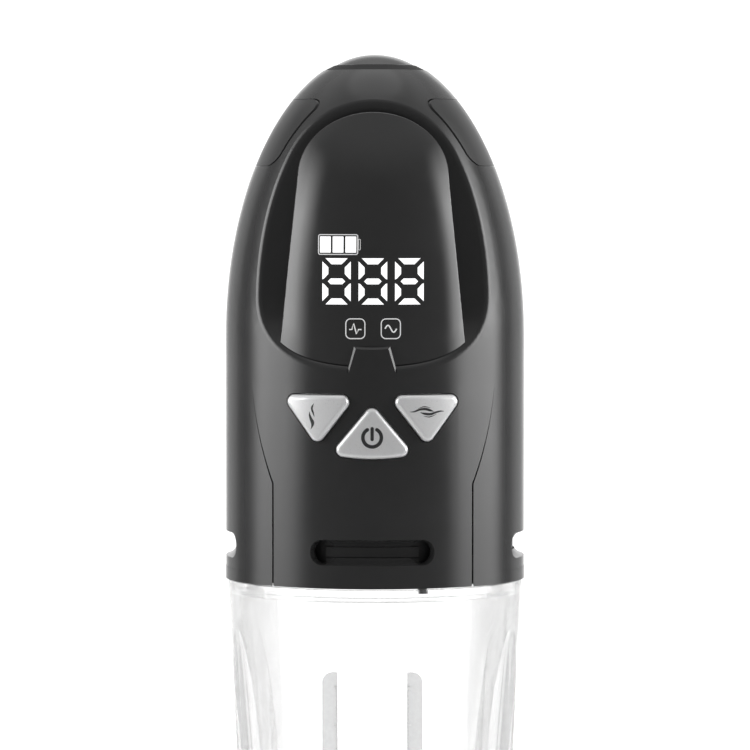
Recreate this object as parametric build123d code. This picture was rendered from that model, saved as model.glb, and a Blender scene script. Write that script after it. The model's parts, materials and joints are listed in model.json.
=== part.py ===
from build123d import *
import os
from math import asin, cos, radians, sin, sqrt, tan

# Handheld vacuum pump: a battery-powered pump head that locks onto a clear cylinder.
# Millimetres, +Z up, front towards -Y. The shapes below are drawn in head coordinates,
# where z = 0 is the head's lower edge, and LIFT stands the finished pump on z = 0.

# ---- Driving dimensions ------------------------------------------------------------
HEAD_R = 40.0            # barrel radius
BARREL_H = 65.2          # straight barrel, above which the head is half an ellipsoid
DOME_H = 75.2
DOME_STEPS = 10          # points that the dome's profile curve passes through
SHELL_T = 2.6            # wall of the head's shells
BIG = 100.0              # larger than the head, for cutting tools

LIP_R = 40.12            # faint band round the lower edge
LIP_H = 3.2

# Scooped front: a leaning flat between two hollow sweeps, straight across in X
SCOOP_LEAN = 6.1         # degrees from vertical
SCOOP_LOW = (25.6, 76.0)  # depth and height where the flat meets the lower sweep
SCOOP_HIGH_Z = 114.0
SCOOP_LOW_R = 22.0
SCOOP_HIGH_R = 30.0
SCOOP_EDGE_R = 2.2

# Display window, a tongue that stands in the scoop
WINDOW_INSET = 0.7       # below the head's own surface
WINDOW_T = 2.0
WINDOW_HW = 19.9         # half width where the arched top begins
WINDOW_ARCH_Z = 107.4
WINDOW_ARCH_H = 17.0
WINDOW_FLARE = 0.0986    # growth of the half width for each mm down
WINDOW_GAP = 0.25
WINDOW_EDGE_R = 0.5

# Front cover
COVER_HW = 26.2          # half width of the straight lower part
COVER_KINK_Z = 26.95
COVER_MID = (29.8, 38.9)
COVER_TOP = (31.95, 53.5)
COVER_GAP = 0.4          # parting gap, closing to nothing at the top
TAB_FOOT = (6.5, 56.4)
TAB_TOP = (4.7, 63.2)
TAB_BEVEL = 0.7
TAB_BEVEL_ANGLE = 40
TAB_T = 1.6

# Triangular buttons
BUTTON_PROUD = 1.5
BUTTON_GAP = 0.3
BUTTON_EDGE_R = 1.3
BUTTON_TRAVEL = 0.8
BUTTON_T = 3.4           # depth of the cap behind the barrel's surface
FLANGE_LAP = 1.0
FLANGE_T = 1.0
KEY_CORNER_R = 1.9
POWER_KEY = [(0.0, 48.3), (-11.0, 35.1), (11.0, 35.1)]
POWER_SAG = 1.1          # how far the power key's lower side bows down
SIDE_KEY = [(4.0, 50.6), (24.0, 50.6), (14.3, 37.2)]

# Slots round the lower edge
SLOT_Z = 9.45
SLOT_HALF_H = 3.35
SLOT_FLOOR_HALF_H = 1.5
SLOT_END_ANGLE = 19.2
SLOT_END_SLOPE = 0.15     # the rounded ends are almost straight-walled
SLOT_OVERCUT = 0.6
SLOT_CURVE = (0.8, 2.45)  # the walls pass here: out from the floor, and half height

# Cap on top, its dark ring, spring and vent valve
CAP_TOP_Z = 140.0
CAP_R = 10.4
CAP_EDGE_H = 0.2         # upright edge under the cap's spherical top
CAP_SPHERE_R = 20.6
CAP_NECK_R = 9.4
CAP_NECK_LOW_Z = 131.5
CAP_RING_FOOT_R = 13.5
CAP_RING_TOP_R = 10.9
CAP_RING_BORE_R = 10.75
CAP_RING_H = 1.3
PLATEAU_Z = 135.8
SPRING_COIL_R = 5.2
SPRING_WIRE_R = 0.45
SPRING_TURNS = 5
VALVE_Z = (106.0, 122.0)
VALVE_R = 6.5
VALVE_ARM_END = 26.5
STEM_R = 3.0
STEM_LOW_Z = 103.0

# Shoulder pads
PAD_HW = 18.9
PAD_Z = (110.2, 128.0)
PAD_CORNER_R = 3.6
PAD_DEPTH = 1.2
PAD_INSET = 0.05
PAD_GAP = (0.75, 0.08)    # groove along the upright edges, and fit at top and bottom

# Collar, neck and bayonet
SEAT_GAP = 0.4           # head's lower edge over the cylinder's shoulder
COLLAR_R = 37.0
COLLAR_BORE_R = 35.4
COLLAR_Z = (0.3, 16.0)
LEDGE_R = 33.6
LEDGE_Z = (1.5, 3.5)
COLLAR_FLANGE_Z = 13.6
COLLAR_GROOVE_H = 0.4     # fine grooves level with the slots' inner edges
COLLAR_GROOVE_DEPTH = 0.7
WELL_ANGLE = 5.2         # pockets in the collar behind the slots' ends
WELL_DEPTH = 1.1
WELL_Z = (6.5, 12.4)
STOP_ANGLE = 3.4
STOP_AZIMUTH = -68.8
STOP_LOW_Z = -1.6
NECK_R = 33.0
NECK_BORE_R = 29.9
NECK_TOP_Z = 7.4
LUG_R = 35.0
LUG_Z = (3.9, 5.9)
LUG_ANGLE = 30.0
ENTRY_ANGLE = 42.0
BAYONET_COUNT = 3
SEAL_SECTION_R = 1.1
SEAL_RING_R = 31.4

# Clear cylinder
TUBE_TOP_R = 39.5
TUBE_T = 3.2
TUBE_TAPER = 0.0508      # radius lost for each mm down, near the top
TUBE_TAPER_END_Z = -44.0
TUBE_BOTTOM_Z = -150.0
SHOULDER_T = 3.4
FLANGE_R = 40.0
FLANGE_H = 3.0
FLUTE_AZIMUTHS = (70.0, 110.0, -70.0, -110.0)
FLUTE_FLOOR = [(38.95, -12.0), (34.1, -72.0), (34.75, -138.0)]
FLUTE_HALF_W = 20.0
STRIP_X = (9.1, 13.1)
STRIP_TOP_Z = -21.9
STRIP_BOTTOM_Z = -136.0
STRIP_T = 0.25
STRIP_CORNER_R = 2.9

# Soft ring at the open end
BASE_R = 43.0
BASE_BORE_R = 27.5
BASE_H = 20.0
LIFT = -TUBE_BOTTOM_Z + FLANGE_H + 14.0

# Inner parts
BOARD_Y = (-27.0, -25.4)
BOARD_HW = 22.0
BOARD_Z = (20.0, 55.0)
KEY_SWITCH_T = 3.0
KEY_CENTRES = [(0.0, 40.0), (-14.3, 45.5), (14.3, 45.5)]
MOTOR_XY = (0.0, -6.5)
MOTOR_R = 12.0
MOTOR_Z = (52.0, 82.0)
SHAFT_R = 1.0
SHAFT_FIT = 0.05
PUMP_HW = 13.0
PUMP_Z = (22.0, 51.5)
CELL_R = 9.2
CELL_H = 65.0
CELL_XY = (9.7, 18.4)
CELL_Z = 20.0
LEAD_R = 0.7
FLOOR_Z = (10.2, 13.2)
FLOOR_R = 34.6
FLOOR_SCREW_R = 1.25
FLOOR_SCREW_RING_R = 25.0
HOSE_R = 2.4

# Chassis and its screws
CHASSIS_Y = (6.6, 8.6)
CHASSIS_Z = (14.0, 100.0)
CHASSIS_HW = 33.0
CLAMP_Z = (63.0, 71.0)
SCREW_PLACES = [(-24.0, 22.0), (24.0, 22.0), (-19.0, 97.0), (19.0, 97.0)]
SCREW_R = 1.2
SCREW_HEAD_R = 2.4

# Charging port and its flap, on the back
PORT_Z = 27.0
FLAP_HW = 7.0
FLAP_HALF_H = 5.0
FLAP_T = 1.3
FLAP_GAP = 0.35
FLAP_SEAT_Y = 36.9
KNUCKLE_R = 1.25
PIN_R = 0.5
PIN_Z = PORT_Z - FLAP_HALF_H + KNUCKLE_R
PIN_Y = 38.5
SOCKET_L = 6.2
SOCKET_SIZE = (8.9, 3.2)
SOCKET_WALL = 0.3

FRONT = Plane.XZ
SIDE = Plane(origin=(0, 0, 0), x_dir=(0, -1, 0), z_dir=(-1, 0, 0))
BACK = Plane(origin=(0, 0, PORT_Z), x_dir=(-1, 0, 0), z_dir=(0, 1, 0))


# ---- Helpers -----------------------------------------------------------------------
def front_prism(face, near, far):
    """Extrude a face drawn in X and Z from one depth in front of the axis to another."""
    return FRONT.offset(near) * extrude(face, far - near)


def ring(outer_r, inner_r, low_z, high_z):
    height = high_z - low_z
    middle = Pos(0, 0, (low_z + high_z) / 2)
    return middle * (Cylinder(outer_r, height) - Cylinder(inner_r, height))


def disc(radius, low_z, high_z):
    return Pos(0, 0, (low_z + high_z) / 2) * Cylinder(radius, high_z - low_z)


def block(low, high):
    size = [b - a for a, b in zip(low, high)]
    middle = [(a + b) / 2 for a, b in zip(low, high)]
    return Pos(*middle) * Box(*size)


def sector(angle, azimuth, low_z, high_z):
    """Wedge of the full angle given, centred on an azimuth measured from +X."""
    half = angle / 2
    corners = [(0, 0)]
    corners += [(BIG * cos(radians(a)), BIG * sin(radians(a))) for a in (-half, 0, half)]
    wedge = extrude(make_face(Polyline(*corners, close=True)), high_z - low_z)
    return Pos(0, 0, low_z) * Rot(0, 0, azimuth) * wedge


def group(solids):
    return Compound(children=[solid.solid() for solid in solids])


# ---- Head form ---------------------------------------------------------------------
def head_form(inset=0.0, low_z=0.0):
    """Barrel and half ellipsoid up to the plateau, set in by an even amount."""
    radius = HEAD_R - inset
    rise = DOME_H - inset
    top_z = PLATEAU_Z - inset
    top_angle = asin((top_z - BARREL_H) / rise)
    angles = [top_angle * step / DOME_STEPS for step in range(DOME_STEPS + 1)]
    points = [(radius * cos(a), BARREL_H + rise * sin(a)) for a in angles]
    dome = Spline(*points, tangents=[(0, 1), (-radius * sin(top_angle), rise * cos(top_angle))])
    rest = Polyline(points[-1], (0, top_z), (0, low_z), (radius, low_z), (radius, BARREL_H))
    return revolve(make_face(Plane.XZ * (dome + rest)), Axis.Z)


def scoop_tool(setback=0.0):
    """Everything in front of the scooped face, or of a face set back behind it."""
    lean = radians(SCOOP_LEAN)
    rise = SCOOP_HIGH_Z - SCOOP_LOW[1]
    low = (SCOOP_LOW[0], SCOOP_LOW[1])
    high = (SCOOP_LOW[0] - rise * tan(lean), SCOOP_HIGH_Z)
    start = 180 + SCOOP_LEAN
    low_centre = (low[0] + SCOOP_LOW_R * cos(lean), low[1] + SCOOP_LOW_R * sin(lean))
    high_centre = (high[0] + SCOOP_HIGH_R * cos(lean), high[1] + SCOOP_HIGH_R * sin(lean))
    low_arc = CenterArc(low_centre, SCOOP_LOW_R + setback, start, 70)
    high_arc = CenterArc(high_centre, SCOOP_HIGH_R + setback, start, -55)
    flat = Line(low_arc @ 0, high_arc @ 0)
    top, bottom = high_arc @ 1, low_arc @ 1
    sides = Polyline(top, (BIG, top.Y), (BIG, bottom.Y), bottom)
    face = make_face(SIDE * (low_arc + flat + high_arc + sides))
    return extrude(face, BIG, both=True)


def tongue_face(inset=0.0, low_z=50.0):
    """Outline of the display window seen from the front."""
    half_w = WINDOW_HW - inset
    low_half_w = half_w + (WINDOW_ARCH_Z - low_z) * WINDOW_FLARE
    arch = EllipticalCenterArc((0, WINDOW_ARCH_Z), half_w, WINDOW_ARCH_H - inset, 0, arc_size=180)
    sides = Polyline((-half_w, WINDOW_ARCH_Z), (-low_half_w, low_z), (low_half_w, low_z),
                     (half_w, WINDOW_ARCH_Z))
    return make_face(arch + sides)


def cover_face(gap=0.0):
    """Outline of the front cover without its tab; gap widens it below the top edge."""
    foot = COVER_HW + gap
    kink = (foot, COVER_KINK_Z)
    middle = (COVER_MID[0] + gap / 2, COVER_MID[1])
    side = Line((foot, -1), kink) + ThreePointArc(kink, middle, COVER_TOP)
    rest = Polyline(COVER_TOP, (0, COVER_TOP[1]), (0, -1), (foot, -1))
    half = make_face(side + rest)
    return half + mirror(half, Plane.YZ)


def tab_face():
    """Outline of the tab: an upright foot and slanted sides above it."""
    foot_w, foot_z = TAB_FOOT
    top_w, top_z = TAB_TOP
    corners = [(foot_w, COVER_TOP[1]), (foot_w, foot_z), (top_w, top_z)]
    outline = corners + [(-x, z) for x, z in reversed(corners)]
    return make_face(Polyline(*outline, close=True))


def tab_hook_face():
    """The tab's slanted part alone, carried down below its foot."""
    foot_w, foot_z = TAB_FOOT
    top_w, top_z = TAB_TOP
    low_z = COVER_TOP[1]
    low_w = foot_w + (foot_w - top_w) * (foot_z - low_z) / (top_z - foot_z)
    outline = [(low_w, low_z), (top_w, top_z), (-top_w, top_z), (-low_w, low_z)]
    return make_face(Polyline(*outline, close=True))


def key_face(corners, grow=0.0, sag=0.0):
    """Triangle with rounded corners; sag bows its lower side downwards."""
    if sag:
        apex, left, right = corners
        bow = ThreePointArc(left, ((left[0] + right[0]) / 2, left[1] - sag), right)
        face = make_face(Polyline(right, apex, left) + bow)
    else:
        face = make_face(Polyline(*corners, close=True))
    face = fillet(face.vertices(), KEY_CORNER_R)
    return offset(face, amount=grow) if grow else face


def key_outlines(grow=0.0):
    """The three key outlines by name, each grown by the same amount."""
    mirrored = [(-x, z) for x, z in SIDE_KEY]
    return {
        "power_button": key_face(POWER_KEY, grow, POWER_SAG),
        "left_button": key_face(mirrored, grow),
        "right_button": key_face(SIDE_KEY, grow),
    }


def slot_tool(azimuth):
    """Slot with hollow-curved long walls and steep round ends, bent round the barrel."""
    floor_r, mouth_r = HEAD_R - SHELL_T, HEAD_R + 1.0
    deep_r = floor_r - SLOT_OVERCUT
    wall = [(floor_r, SLOT_FLOOR_HALF_H), (floor_r + SLOT_CURVE[0], SLOT_CURVE[1]), (HEAD_R, SLOT_HALF_H)]
    upper = ThreePointArc(*[(r, SLOT_Z + half) for r, half in wall])
    lower = ThreePointArc(*[(r, SLOT_Z - half) for r, half in wall])
    mouth = Polyline(upper @ 1, (mouth_r, SLOT_Z + SLOT_HALF_H), (mouth_r, SLOT_Z - SLOT_HALF_H), lower @ 1)
    throat = Polyline(upper @ 0, (deep_r, SLOT_Z + SLOT_FLOOR_HALF_H),
                      (deep_r, SLOT_Z - SLOT_FLOOR_HALF_H), lower @ 0)
    face = make_face(Plane.XZ * (upper + mouth + lower + throat))
    tool = Rot(0, 0, azimuth - SLOT_END_ANGLE) * revolve(face, Axis.Z, 2 * SLOT_END_ANGLE)
    deep_end_r = SLOT_HALF_H - SLOT_END_SLOPE * (HEAD_R - deep_r)
    for end in (-SLOT_END_ANGLE, SLOT_END_ANGLE):
        cone = Cone(deep_end_r, SLOT_HALF_H, HEAD_R - deep_r, align=(Align.CENTER, Align.CENTER, Align.MIN))
        stub = Pos(0, 0, HEAD_R - deep_r + 0.5) * Cylinder(SLOT_HALF_H, 1.0)
        tool += Rot(0, 0, azimuth + end) * Pos(deep_r, 0, SLOT_Z) * Rot(0, 90, 0) * (cone + stub)
    return tool


def pad_prism(side, gap=(0.0, 0.0)):
    """Rounded rectangle seen from the side, through one shoulder."""
    width = 2 * (PAD_HW - gap[0])
    height = PAD_Z[1] - PAD_Z[0] - 2 * gap[1]
    face = RectangleRounded(width, height, PAD_CORNER_R - gap[1])
    middle_z = (PAD_Z[0] + PAD_Z[1]) / 2
    plane = Plane(origin=(side * 8, 0, middle_z), x_dir=(0, 1, 0), z_dir=(side, 0, 0))
    return plane * extrude(face, HEAD_R)


# ---- Head shells -------------------------------------------------------------------
def make_scooped_form():
    """The head's outer form with its scoop cut and the scoop's rim rounded."""
    plain = head_form()
    form = plain - scoop_tool()
    rim = [e for e in form.edges() if is_scoop_rim(e)]
    return fillet(rim, SCOOP_EDGE_R)


def is_scoop_rim(edge):
    """True for edges that lie on the head's own surface and on the scoop."""
    if edge.length < 1 or edge.center().Y > -5:
        return False
    point = edge @ 0.5
    height = max(point.Z - BARREL_H, 0)
    reach = HEAD_R * sqrt(max(1 - (height / DOME_H) ** 2, 0))
    on_surface = abs(sqrt(point.X ** 2 + point.Y ** 2) - reach) < 0.01
    return on_surface and point.Z > COVER_TOP[1] and point.Y < -HEAD_R / 4 and not is_ring(edge)


def is_ring(edge):
    """True for a level circle on the body of revolution."""
    return abs((edge @ 0).Z - (edge @ 1).Z) < 1e-6 and abs((edge @ 0.5).Z - (edge @ 0).Z) < 1e-6


def make_hollow():
    """The space inside the head's shells."""
    return head_form(SHELL_T, -1.0) - scoop_tool(SHELL_T)


def make_main_housing(form, hollow):
    housing = form + ring(LIP_R, HEAD_R - SHELL_T, 0, LIP_H)
    housing -= hollow
    housing += charge_boss()
    housing -= front_prism(cover_face(COVER_GAP / 2) + tab_face(), 15, BIG)
    housing -= front_prism(Pos(0, 89) * RectangleRounded(31, 34, 4), 15, BIG)
    for azimuth in (0, 90, 180):
        housing -= slot_tool(azimuth)
    for side in (-1, 1):
        housing -= pad_prism(side) - head_form(PAD_DEPTH)
    housing -= disc(CAP_NECK_R + 0.4, 120, 140)
    housing -= charge_recess()
    return housing


def make_front_cover(form, hollow, window):
    cover = form & front_prism(cover_face(-COVER_GAP / 2), 15, BIG)
    cover += make_tab(window)
    cover -= hollow
    for outline in key_outlines(BUTTON_GAP).values():
        cover -= front_prism(outline, 15, BIG)
    cover -= slot_tool(-90)
    return cover


def make_tab(window):
    """Tab that hooks over the window's lower edge, bevelled above its foot."""
    surface = HEAD_R - TAB_BEVEL
    low_z, foot_z = COVER_TOP[1], TAB_FOOT[1]
    straight = front_prism(tab_face(), HEAD_R / 2, surface - 0.2)
    bevel = FRONT.offset(surface - 0.2) * extrude(tab_hook_face(), TAB_BEVEL + 0.5, taper=TAB_BEVEL_ANGLE)
    bevel &= block((-BIG, -BIG, foot_z), (BIG, BIG, BIG))
    foot = block((-TAB_FOOT[0], -BIG, low_z), (TAB_FOOT[0], -HEAD_R / 2, foot_z))
    return (head_form() & (straight + bevel + foot)) - window


def make_window():
    """Smoked lens: a hollow tongue whose surface follows the head just below it."""
    lens = head_form(WINDOW_INSET) & front_prism(tongue_face(), 15, BIG)
    rim = [e for e in lens.edges() if on_inset_surface(e)]
    lens = fillet(rim, WINDOW_EDGE_R) & scoop_tool(-WINDOW_GAP)
    core = front_prism(tongue_face(WINDOW_T, 68.0), 15, BIG)
    lens -= head_form(WINDOW_INSET + WINDOW_T) & core
    return lens - (front_prism(tab_face(), 15, BIG) - head_form(TAB_T))


def on_inset_surface(edge):
    """True for the lens's outer rim, which lies on the inset head surface."""
    point = edge @ 0.5
    height = max(point.Z - BARREL_H, 0)
    reach = (HEAD_R - WINDOW_INSET) * sqrt(max(1 - (height / (DOME_H - WINDOW_INSET)) ** 2, 0))
    on_surface = abs(sqrt(point.X ** 2 + point.Y ** 2) - reach) < 0.01
    return on_surface and point.Z > COVER_TOP[1] and not is_ring(edge)


def make_pad_inlay(side):
    skin = head_form(PAD_INSET) - head_form(PAD_DEPTH)
    return skin & pad_prism(side, PAD_GAP)


# ---- Buttons -----------------------------------------------------------------------
def make_button(name):
    """Triangular cap with a retaining flange and a plunger over its switch."""
    top_r = HEAD_R + BUTTON_PROUD
    barrel = disc(top_r, 20, 60)
    cap = front_prism(key_outlines()[name], 15, BIG) & barrel
    cap = fillet([e for e in cap.edges() if on_radius(e, top_r)], BUTTON_EDGE_R)
    cap -= disc(HEAD_R - BUTTON_T, 15, 65)
    wide = front_prism(key_outlines(FLANGE_LAP)[name], 15, BIG)
    flange_r = HEAD_R - SHELL_T - BUTTON_GAP
    flange = wide & ring(flange_r, flange_r - FLANGE_T, 20, 60)
    x, z = KEY_CENTRES[list(key_outlines()).index(name)]
    switch_y = BOARD_Y[0] - KEY_SWITCH_T
    plunger_depth = -switch_y + BUTTON_TRAVEL + 0.4
    plunger = front_prism(Pos(x, z) * Circle(2.0), plunger_depth, HEAD_R - 3)
    return cap + flange + (plunger & disc(HEAD_R - 1, 20, 60))


def on_radius(edge, radius):
    point = edge @ 0.5
    return abs(sqrt(point.X ** 2 + point.Y ** 2) - radius) < 0.01


# ---- Cap, spring and vent valve ----------------------------------------------------
def make_release_button():
    """Low spherical cap with a neck, a stem and the stem's foot."""
    centre_z = CAP_TOP_Z - CAP_SPHERE_R
    rim_z = centre_z + sqrt(CAP_SPHERE_R ** 2 - CAP_R ** 2)
    cap = Pos(0, 0, centre_z) * Sphere(CAP_SPHERE_R) & disc(CAP_R, rim_z - CAP_EDGE_H, CAP_TOP_Z + 1)
    neck = disc(CAP_NECK_R, CAP_NECK_LOW_Z, rim_z)
    return cap + neck + disc(STEM_R, STEM_LOW_Z, CAP_NECK_LOW_Z + 0.5)


def make_cap_ring():
    """Dark sloped ring on the dome's flat top, which the cap sinks into."""
    top_z = PLATEAU_Z + CAP_RING_H
    outline = Polyline((CAP_RING_BORE_R, PLATEAU_Z), (CAP_RING_FOOT_R, PLATEAU_Z), (CAP_RING_TOP_R, top_z),
                       (CAP_RING_BORE_R, top_z), close=True)
    return revolve(make_face(Plane.XZ * outline), Axis.Z)


def make_release_spring():
    """Coil spring between the valve body and the cap's neck."""
    low, high = VALVE_Z[1] + 0.5, CAP_NECK_LOW_Z - 0.5
    path = Helix(pitch=(high - low) / SPRING_TURNS, height=high - low, radius=SPRING_COIL_R)
    coil = sweep(Plane(path @ 0, z_dir=path % 0) * Circle(SPRING_WIRE_R), path)
    return Pos(0, 0, low) * coil


def make_valve_body():
    body = disc(VALVE_R, *VALVE_Z) - disc(STEM_R + SHAFT_FIT, VALVE_Z[0] - 1, VALVE_Z[1] + 1)
    arm = block((VALVE_R - 2, -3, VALVE_Z[0]), (VALVE_ARM_END, 3, VALVE_Z[0] + 4))
    return body + (arm - disc(VALVE_R, *VALVE_Z))


def make_valve_seal():
    return ring(STEM_R + 2.2, STEM_R, STEM_LOW_Z, STEM_LOW_Z + 1.6)


# ---- Electronics -------------------------------------------------------------------
def make_control_board():
    board = block((-BOARD_HW, BOARD_Y[0], BOARD_Z[0]), (BOARD_HW, BOARD_Y[1], BOARD_Z[1]))
    chip = block((-5, BOARD_Y[1], 24), (5, BOARD_Y[1] + 1.4, 34))
    return board + chip


def make_key_switches():
    """One tact switch behind each button."""
    switches = []
    for x, z in KEY_CENTRES:
        half = 3.0
        front = BOARD_Y[0] - KEY_SWITCH_T + 0.7
        body = block((x - half, front, z - half), (x + half, BOARD_Y[0], z + half))
        actuator = front_prism(Pos(x, z) * Circle(1.7), -front, -front + 0.7)
        switches.append(body + actuator)
    return group(switches)


def make_display_module():
    body = block((-15, -29.5, 73), (15, -26.0, 96))
    pins = block((-12, -26.0, 76), (12, -21.5, 78))
    return body + pins


def make_display_diffuser():
    return block((-15, -30.5, 73), (15, -29.5, 96))


def cell_places():
    return [(side * CELL_XY[0], CELL_XY[1]) for side in (-1, 1)]


def make_battery_cells():
    cells = []
    for x, y in cell_places():
        can = Pos(x, y, CELL_Z + CELL_H / 2) * Cylinder(CELL_R, CELL_H)
        button = Pos(x, y, CELL_Z + CELL_H) * Cylinder(3, 2)
        cells.append(can + button)
    return group(cells)


def make_battery_cradle():
    """Open tray round the cells, with a lip at each end."""
    x, y = CELL_XY
    half_w = x + CELL_R + 1.2
    tray = block((-half_w, y - CELL_R - 0.4, CELL_Z - 2), (half_w, y + 4, CELL_Z + CELL_H + 3))
    well = block((-half_w + 1.2, y - CELL_R, CELL_Z), (half_w - 1.2, y + 5, CELL_Z + CELL_H + 1.2))
    for x, y in cell_places():
        tray -= Pos(x, y, CELL_Z + CELL_H) * Cylinder(LEAD_R + 0.3, 10)
    return tray - well


def make_battery_leads():
    """Two insulated wires: up from the cells, through the chassis, round the motor to the board."""
    cell_x, cell_y = CELL_XY
    top_z = CELL_Z + CELL_H + 4.5
    leads = []
    for side in (-1, 1):
        points = [(side * cell_x, cell_y, top_z - 3.5), (side * cell_x, cell_y, top_z),
                  (side * 5.5, 10, top_z), (side * 5.5, 3, top_z), (side * 20, -12, 80),
                  (side * 20, -18, 60), (side * 17, BOARD_Y[1] + 0.8, 50)]
        leads.append(round_tube(points, LEAD_R, 2.0))
    return group(leads)


def round_tube(points, radius, bend_r):
    path = FilletPolyline(*points, radius=bend_r)
    return sweep(Plane(path @ 0, z_dir=path % 0) * Circle(radius), path)


# ---- Chassis, motor and pump -------------------------------------------------------
def make_inner_chassis():
    """Upright plate between motor and cells, with a clamp for the motor."""
    plate = block((-CHASSIS_HW, CHASSIS_Y[0], CHASSIS_Z[0]), (CHASSIS_HW, CHASSIS_Y[1], CHASSIS_Z[1]))
    plate &= head_form(SHELL_T + 1.0)
    window = block((-8, CHASSIS_Y[0] - 1, 76), (8, CHASSIS_Y[1] + 1, 92))
    clamp = at_motor(ring(MOTOR_R + 2, MOTOR_R, *CLAMP_Z))
    clamp -= block((-BIG, -BIG, 0), (BIG, MOTOR_XY[1], BIG))
    clamp -= block((-BIG, CHASSIS_Y[0], 0), (BIG, BIG, BIG))
    frame = plate - window + clamp
    for sx, sz in SCREW_PLACES:
        hole = Circle(SCREW_R + 0.1)
        frame -= front_prism(Pos(sx, sz) * hole, -CHASSIS_Y[1] - 1, -CHASSIS_Y[0] + 1)
    return frame


def make_chassis_screws():
    screws = []
    for x, z in SCREW_PLACES:
        shank = front_prism(Pos(x, z) * Circle(SCREW_R), -CHASSIS_Y[1] - 4, -CHASSIS_Y[0])
        head = front_prism(Pos(x, z) * Circle(SCREW_HEAD_R), -CHASSIS_Y[0], -CHASSIS_Y[0] + 1.6)
        screws.append(shank + head)
    return group(screws)


def at_motor(shape):
    return Pos(*MOTOR_XY, 0) * shape


def make_pump_motor():
    """Motor can with bearing bosses at both ends, bored for its shaft."""
    can = disc(MOTOR_R, *MOTOR_Z) + disc(3.2, MOTOR_Z[1], MOTOR_Z[1] + 2)
    return at_motor(can - disc(SHAFT_R + SHAFT_FIT, 0, BIG))


def make_motor_shaft():
    return at_motor(disc(SHAFT_R, 33.0, MOTOR_Z[1] + 4))


def make_eccentric():
    """Off-centre disc that works the diaphragm, with a counterweight."""
    offset_disc = Pos(1.5, 0, 0) * disc(4.0, 40.0, 44.0)
    weight = Pos(-1.0, 0, 0) * disc(5.0, 44.0, 46.0)
    return at_motor(offset_disc + weight - disc(SHAFT_R, 30, 60))


def make_pump_body():
    """Square pump housing with a round crank chamber and a nozzle on each side."""
    low, high = PUMP_Z
    body = block((-PUMP_HW, -PUMP_HW, low), (PUMP_HW, PUMP_HW, high))
    body -= disc(10.0, 32.0, 49.5)
    body -= disc(SHAFT_R + SHAFT_FIT, 49, 60)
    nozzle = Pos(PUMP_HW + 2, 0, 27) * Rot(0, 90, 0) * Cylinder(1.6, 6)
    return at_motor(body + nozzle)


def make_pump_diaphragm():
    return at_motor(disc(9.6, 32.0, 33.0 - 0.4) + disc(3.0, 32.6, 32.7))


def make_air_hose():
    """From the pump's nozzle down to the port in the floor."""
    x, y = MOTOR_XY
    start = (x + PUMP_HW + 2, y, 27)
    points = [start, (x + PUMP_HW + 8.5, y, 27), (x + PUMP_HW + 8.5, y, FLOOR_Z[1])]
    tube = round_tube(points, HOSE_R, 4.5)
    return tube - make_pump_body()


def make_vent_hose():
    """From the vent valve's arm straight down to the floor."""
    return Pos(23.5, 0, 0) * (disc(HOSE_R, FLOOR_Z[1], VALVE_Z[0]) - disc(1.2, FLOOR_Z[1], VALVE_Z[0]))


# ---- Charging port -----------------------------------------------------------------
def charge_boss():
    """Thicker wall behind the flap's seat."""
    return block((-10, FLAP_SEAT_Y - 1.7, 19), (10, 38.5, 35)) & head_form(1.0)


def charge_recess():
    """Seat for the flap, the port's own opening at its floor, and the pin's holes."""
    width, height = 2 * (FLAP_HW + FLAP_GAP), 2 * (FLAP_HALF_H + FLAP_GAP)
    seat = BACK.offset(FLAP_SEAT_Y) * extrude(RectangleRounded(width, height, 0.8), 10)
    mouth = BACK.offset(FLAP_SEAT_Y - 3) * extrude(RectangleRounded(9.4, 3.6, 1.7), 10)
    return seat + mouth + make_flap_pin()


def make_charge_socket():
    """Metal-shelled socket behind the opening, with its tongue."""
    width, height = SOCKET_SIZE
    corner_r = height / 2 - 0.05
    bore = RectangleRounded(width - 2 * SOCKET_WALL, height - 2 * SOCKET_WALL, corner_r - SOCKET_WALL)
    shell = extrude(RectangleRounded(width, height, corner_r), SOCKET_L)
    shell -= Pos(0, 0, 1) * extrude(bore, SOCKET_L)
    tongue = Pos(0, 0, 1) * extrude(Rectangle(6.6, 0.7), SOCKET_L - 2)
    return BACK.offset(FLAP_SEAT_Y - 0.2 - SOCKET_L) * (shell + tongue)


def make_charge_flap():
    """Soft cover, flush with the barrel, that swings down on its pin."""
    slab = block((-FLAP_HW, 30, PIN_Z), (FLAP_HW, 45, PORT_Z + FLAP_HALF_H))
    top_corners = [e for e in slab.edges().filter_by(Axis.Y) if e.center().Z > PORT_Z]
    flap = fillet(top_corners, 0.8) & ring(HEAD_R, HEAD_R - FLAP_T, 10, 50)
    across = Pos(0, PIN_Y, PIN_Z) * Rot(0, 90, 0)
    knuckle = (across * Cylinder(KNUCKLE_R, 2 * FLAP_HW)) & disc(HEAD_R, 10, 50)
    pull = block((-2.5, HEAD_R - 1, PORT_Z + FLAP_HALF_H - 1.4),
                 (2.5, HEAD_R + 0.6, PORT_Z + FLAP_HALF_H - 0.4))
    return flap + knuckle + pull - across * Cylinder(PIN_R + SHAFT_FIT, 20)


def make_flap_pin():
    return Pos(0, PIN_Y, PIN_Z) * Rot(0, 90, 0) * Cylinder(PIN_R, 2 * (FLAP_HW + 1.2))


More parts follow.
